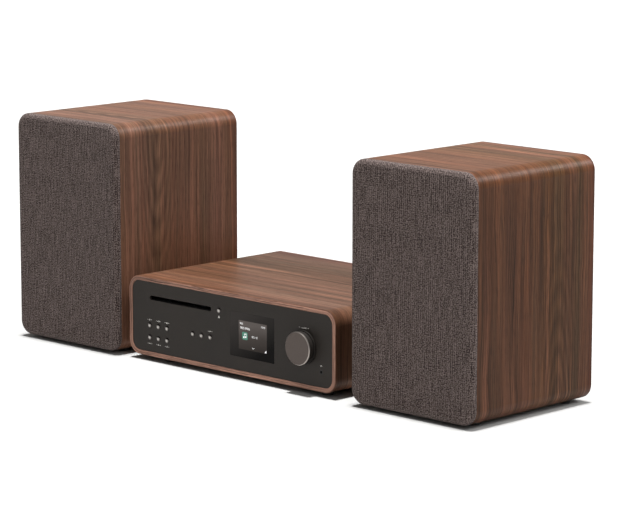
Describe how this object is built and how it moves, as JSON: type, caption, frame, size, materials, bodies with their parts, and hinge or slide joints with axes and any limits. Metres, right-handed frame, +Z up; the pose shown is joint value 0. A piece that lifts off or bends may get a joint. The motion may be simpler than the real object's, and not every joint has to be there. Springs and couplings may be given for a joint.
{
  "type": "mini hifi system",
  "caption": "Wood-wrapped stereo receiver with a slot disc drive, display, keys and volume knob, and cloth-fronted bookshelf speakers standing at its sides.",
  "frame": {"origin": "middle of the overall box, on the surface that the units stand on", "axes": "+Z up, fronts face -Y, +X to the right seen from the front"},
  "size_m": [0.871, 0.3052, 0.325],
  "materials": {
    "walnut_veneer": "satin walnut veneer",
    "panel_plastic": "fine satin",
    "black_steel": "powder coat",
    "zinc_steel": "zinc plated",
    "rubber": "matt",
    "black_screws": "black oxide",
    "terminal_plastic": "moulded, with plated metal cores",
    "gloss_acrylic": "polished",
    "display": "lit screen",
    "knob_aluminium": "anodised, satin",
    "knob_skirt": "satin",
    "turned_steel": "turned",
    "circuit_board": "solder mask with fitted components",
    "drive_plastic": "moulded",
    "key_metal": "polished",
    "black_board": "black vinyl on fibreboard",
    "grille_fabric": "woven",
    "paper_cone": "coated paper"
  },
  "bodies": {
    "receiver": {"receiver_cabinet": "walnut_veneer", "receiver_front_panel": "panel_plastic", "receiver_rear_panel": "black_steel", "receiver_chassis": "zinc_steel", "receiver_feet": "rubber", "receiver_screws": "black_screws", "receiver_posts": "terminal_plastic", "rear_sockets": "terminal_plastic", "display_window": "gloss_acrylic", "display_module": "display", "front_board": "circuit_board", "headphone_socket": "panel_plastic", "disc_drive_frame": "zinc_steel", "main_board": "circuit_board", "power_supply": "circuit_board"},
    "knob_press": {"encoder_plunger": "panel_plastic"},
    "volume_knob": {"knob_cap": "knob_aluminium", "knob_body": "knob_skirt", "encoder_shaft": "turned_steel"},
    "turntable": {"disc_turntable": "drive_plastic"},
    "sled": {"laser_sled": "drive_plastic"},
    "roller": {"feed_roller": "rubber"},
    "standby_key_body": {"standby_key": "key_metal"},
    "source_key_body": {"source_key": "key_metal"},
    "menu_key_body": {"menu_key": "key_metal"},
    "back_key_body": {"back_key": "key_metal"},
    "preset_key_body": {"preset_key": "key_metal"},
    "info_key_body": {"info_key": "key_metal"},
    "previous_key_body": {"previous_key": "key_metal"},
    "play_key_body": {"play_key": "key_metal"},
    "next_key_body": {"next_key": "key_metal"},
    "eject_key_body": {"eject_key": "key_metal"},
    "left_speaker": {"left_speaker_cabinet": "walnut_veneer", "left_speaker_baffle": "black_board", "left_speaker_back_panel": "black_board", "left_woofer_basket": "black_steel", "left_woofer_suspension": "rubber", "left_tweeter": "panel_plastic", "left_port_tube": "panel_plastic", "left_terminal_plate": "panel_plastic", "left_speaker_posts": "terminal_plastic", "left_speaker_feet": "rubber", "left_speaker_screws": "black_screws"},
    "left_grille": {"left_grille_frame": "panel_plastic", "left_grille_cloth": "grille_fabric"},
    "left_woofer": {"left_woofer_cone": "paper_cone"},
    "right_speaker": {"right_speaker_cabinet": "walnut_veneer", "right_speaker_baffle": "black_board", "right_speaker_back_panel": "black_board", "right_woofer_basket": "black_steel", "right_woofer_suspension": "rubber", "right_tweeter": "panel_plastic", "right_port_tube": "panel_plastic", "right_terminal_plate": "panel_plastic", "right_speaker_posts": "terminal_plastic", "right_speaker_feet": "rubber", "right_speaker_screws": "black_screws"},
    "right_grille": {"right_grille_frame": "panel_plastic", "right_grille_cloth": "grille_fabric"},
    "right_woofer": {"right_woofer_cone": "paper_cone"}
  },
  "joints": [
    {"name": "knob_push", "type": "slide", "parent": "receiver", "child": "knob_press", "axis": [0, 1, 0], "range_m": [0, 0.0005], "stiffness_N_per_m": 4000, "springref_m": -0.0005},
    {"name": "knob_turn", "type": "hinge", "parent": "knob_press", "child": "volume_knob", "pos_m": [0.1315, -0.1404, 0.0625], "axis": [0, 1, 0], "continuous": true},
    {"name": "disc_spin", "type": "hinge", "parent": "receiver", "child": "turntable", "pos_m": [-0.10675, -0.0663, 0.0897], "axis": [0, 0, 1], "continuous": true},
    {"name": "sled_travel", "type": "slide", "parent": "receiver", "child": "sled", "axis": [0, 1, 0], "range_m": [0, 0.033]},
    {"name": "roller_spin", "type": "hinge", "parent": "receiver", "child": "roller", "pos_m": [-0.10675, -0.1265, 0.0825], "axis": [1, 0, 0], "continuous": true},
    {"name": "standby_key_push", "type": "slide", "parent": "receiver", "child": "standby_key_body", "axis": [0, 1, 0], "range_m": [0, 0.0006], "stiffness_N_per_m": 1000, "springref_m": -0.0005},
    {"name": "source_key_push", "type": "slide", "parent": "receiver", "child": "source_key_body", "axis": [0, 1, 0], "range_m": [0, 0.0006], "stiffness_N_per_m": 1000, "springref_m": -0.0005},
    {"name": "menu_key_push", "type": "slide", "parent": "receiver", "child": "menu_key_body", "axis": [0, 1, 0], "range_m": [0, 0.0006], "stiffness_N_per_m": 1000, "springref_m": -0.0005},
    {"name": "back_key_push", "type": "slide", "parent": "receiver", "child": "back_key_body", "axis": [0, 1, 0], "range_m": [0, 0.0006], "stiffness_N_per_m": 1000, "springref_m": -0.0005},
    {"name": "preset_key_push", "type": "slide", "parent": "receiver", "child": "preset_key_body", "axis": [0, 1, 0], "range_m": [0, 0.0006], "stiffness_N_per_m": 1000, "springref_m": -0.0005},
    {"name": "info_key_push", "type": "slide", "parent": "receiver", "child": "info_key_body", "axis": [0, 1, 0], "range_m": [0, 0.0006], "stiffness_N_per_m": 1000, "springref_m": -0.0005},
    {"name": "previous_key_push", "type": "slide", "parent": "receiver", "child": "previous_key_body", "axis": [0, 1, 0], "range_m": [0, 0.0006], "stiffness_N_per_m": 1000, "springref_m": -0.0005},
    {"name": "play_key_push", "type": "slide", "parent": "receiver", "child": "play_key_body", "axis": [0, 1, 0], "range_m": [0, 0.0006], "stiffness_N_per_m": 1000, "springref_m": -0.0005},
    {"name": "next_key_push", "type": "slide", "parent": "receiver", "child": "next_key_body", "axis": [0, 1, 0], "range_m": [0, 0.0006], "stiffness_N_per_m": 1000, "springref_m": -0.0005},
    {"name": "eject_key_push", "type": "slide", "parent": "receiver", "child": "eject_key_body", "axis": [0, 1, 0], "range_m": [0, 0.0006], "stiffness_N_per_m": 1000, "springref_m": -0.0005},
    {"name": "left_speaker_place", "type": "slide", "parent": "receiver", "child": "left_speaker", "axis": [-1, 0, 0], "range_m": [0, 0.15]},
    {"name": "left_grille_pull", "type": "slide", "parent": "left_speaker", "child": "left_grille", "axis": [0, -1, 0], "range_m": [0, 0.03]},
    {"name": "left_woofer_travel", "type": "slide", "parent": "left_speaker", "child": "left_woofer", "axis": [0, 1, 0], "range_m": [-0.003, 0.003], "stiffness_N_per_m": 1200, "deforming": ["left_woofer_suspension"]},
    {"name": "right_speaker_place", "type": "slide", "parent": "receiver", "child": "right_speaker", "axis": [1, 0, 0], "range_m": [0, 0.15]},
    {"name": "right_grille_pull", "type": "slide", "parent": "right_speaker", "child": "right_grille", "axis": [0, -1, 0], "range_m": [0, 0.03]},
    {"name": "right_woofer_travel", "type": "slide", "parent": "right_speaker", "child": "right_woofer", "axis": [0, 1, 0], "range_m": [-0.003, 0.003], "stiffness_N_per_m": 1200, "deforming": ["right_woofer_suspension"]}
  ]
}
